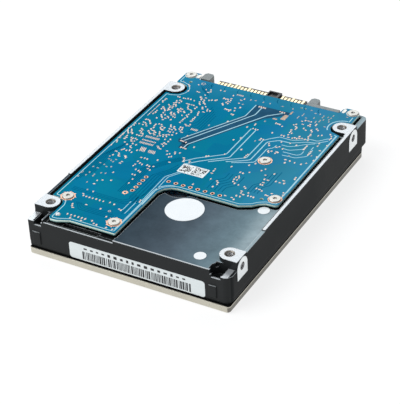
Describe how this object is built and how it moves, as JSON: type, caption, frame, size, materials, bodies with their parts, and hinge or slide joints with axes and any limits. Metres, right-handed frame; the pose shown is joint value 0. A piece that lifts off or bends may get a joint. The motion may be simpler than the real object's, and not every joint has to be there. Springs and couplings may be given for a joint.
{
  "type": "hard disk drive",
  "caption": "Slim rectangular disk drive: cast base, exposed circuit board with a serial plug, threaded mounting holes; platters, head actuator and shock latch turn inside.",
  "frame": {"origin": "centre line of the width, on the outer face of the cover label (the face it rests on), 47.9 mm behind the front face of the casting (the cover stands 0.8 mm further forward)", "axes": "+X across the width (right when seen from the label end), +Y from the label end to the plug end, +Z from the cover face to the bottom mounting face"},
  "size_m": [0.0698, 0.0992, 0.015],
  "materials": {
    "black_ecoat_aluminium": "satin black e-coat on cast aluminium, machined pads left bare",
    "champagne_cover": "satin, faintly warm stamped cover",
    "label_paper": "satin coated paper",
    "gasket_rubber": "matte",
    "screw_steel": "zinc plated",
    "solder_mask": "blue solder mask over glass cloth",
    "chip_epoxy": "matte moulding compound",
    "ceramic_part": "fired ceramic",
    "ferrite": "matt sintered",
    "black_film": "matte film",
    "plug_plastic": "satin moulded nylon",
    "gold_contact": "gold plated",
    "bare_aluminium": "machined",
    "polished_steel": "ground and polished",
    "lamination_steel": "stamped laminations",
    "copper_wire": "enamelled winding",
    "bronze": "machined bronze",
    "platter_mirror": "mirror polished",
    "slider_ceramic": "lapped ceramic",
    "flex_film": "polyimide film",
    "nickel_steel": "nickel plated",
    "ramp_plastic": "moulded engineering plastic",
    "filter_felt": "spun felt"
  },
  "bodies": {
    "chassis": {"base_casting": "black_ecoat_aluminium", "board_capacitors": "ceramic_part", "board_insulator": "black_film", "board_label": "label_paper", "board_screws": "screw_steel", "breather_filter": "filter_felt", "circuit_board": "solder_mask", "controller_chip": "chip_epoxy", "cover_gasket": "gasket_rubber", "cover_label": "label_paper", "cover_screws": "screw_steel", "crash_stops": "gasket_rubber", "flash_chips": "chip_epoxy", "flex_cable": "flex_film", "flex_header": "plug_plastic", "hole_seals": "label_paper", "latch_pin": "polished_steel", "load_ramp": "ramp_plastic", "memory_chip": "chip_epoxy", "motor_bracket": "bare_aluminium", "motor_driver_chip": "chip_epoxy", "pivot_inner_rings": "polished_steel", "pivot_shaft": "polished_steel", "plug_contacts": "gold_contact", "plug_housing": "plug_plastic", "port_seal": "label_paper", "ramp_screw": "screw_steel", "recirculation_filter": "filter_felt", "serial_label": "label_paper", "shaft_screws": "screw_steel", "spindle_shaft": "polished_steel", "stator_core": "lamination_steel", "stator_windings": "copper_wire", "surge_inductors": "ferrite", "top_cover": "champagne_cover", "voice_magnets": "nickel_steel", "yoke_base_side": "nickel_steel", "yoke_cover_side": "nickel_steel", "yoke_posts": "polished_steel", "yoke_screws": "screw_steel"},
    "spindle": {"spindle_hub": "bare_aluminium", "bearing_sleeve": "bronze", "rotor_magnet": "ferrite", "platter_1": "platter_mirror", "platter_2": "platter_mirror", "platter_3": "platter_mirror", "platter_spacers": "bare_aluminium", "disk_clamp": "polished_steel", "clamp_screws": "screw_steel"},
    "actuator": {"actuator_arm": "bare_aluminium", "pivot_sleeve": "polished_steel", "pivot_outer_rings": "polished_steel", "pivot_balls": "polished_steel", "voice_coil": "copper_wire", "coil_frame": "ramp_plastic", "head_suspensions": "polished_steel", "head_sliders": "slider_ceramic", "preamp_board": "flex_film", "preamp_chip": "chip_epoxy"},
    "latch": {"shock_latch": "ramp_plastic"}
  },
  "joints": [
    {"name": "spindle_spin", "type": "hinge", "parent": "chassis", "child": "spindle", "pos_m": [0, -0.014, 0.006], "axis": [0, 0, 1], "continuous": true},
    {"name": "actuator_swing", "type": "hinge", "parent": "chassis", "child": "actuator", "pos_m": [0.012, 0.024, 0.006], "axis": [0, 0, 1], "range_deg": [-1.2, 32.4]},
    {"name": "latch_swing", "type": "hinge", "parent": "chassis", "child": "latch", "pos_m": [0.0025, 0.0365, 0.006], "axis": [0, 0, 1], "range_deg": [-1.5, 11]}
  ]
}
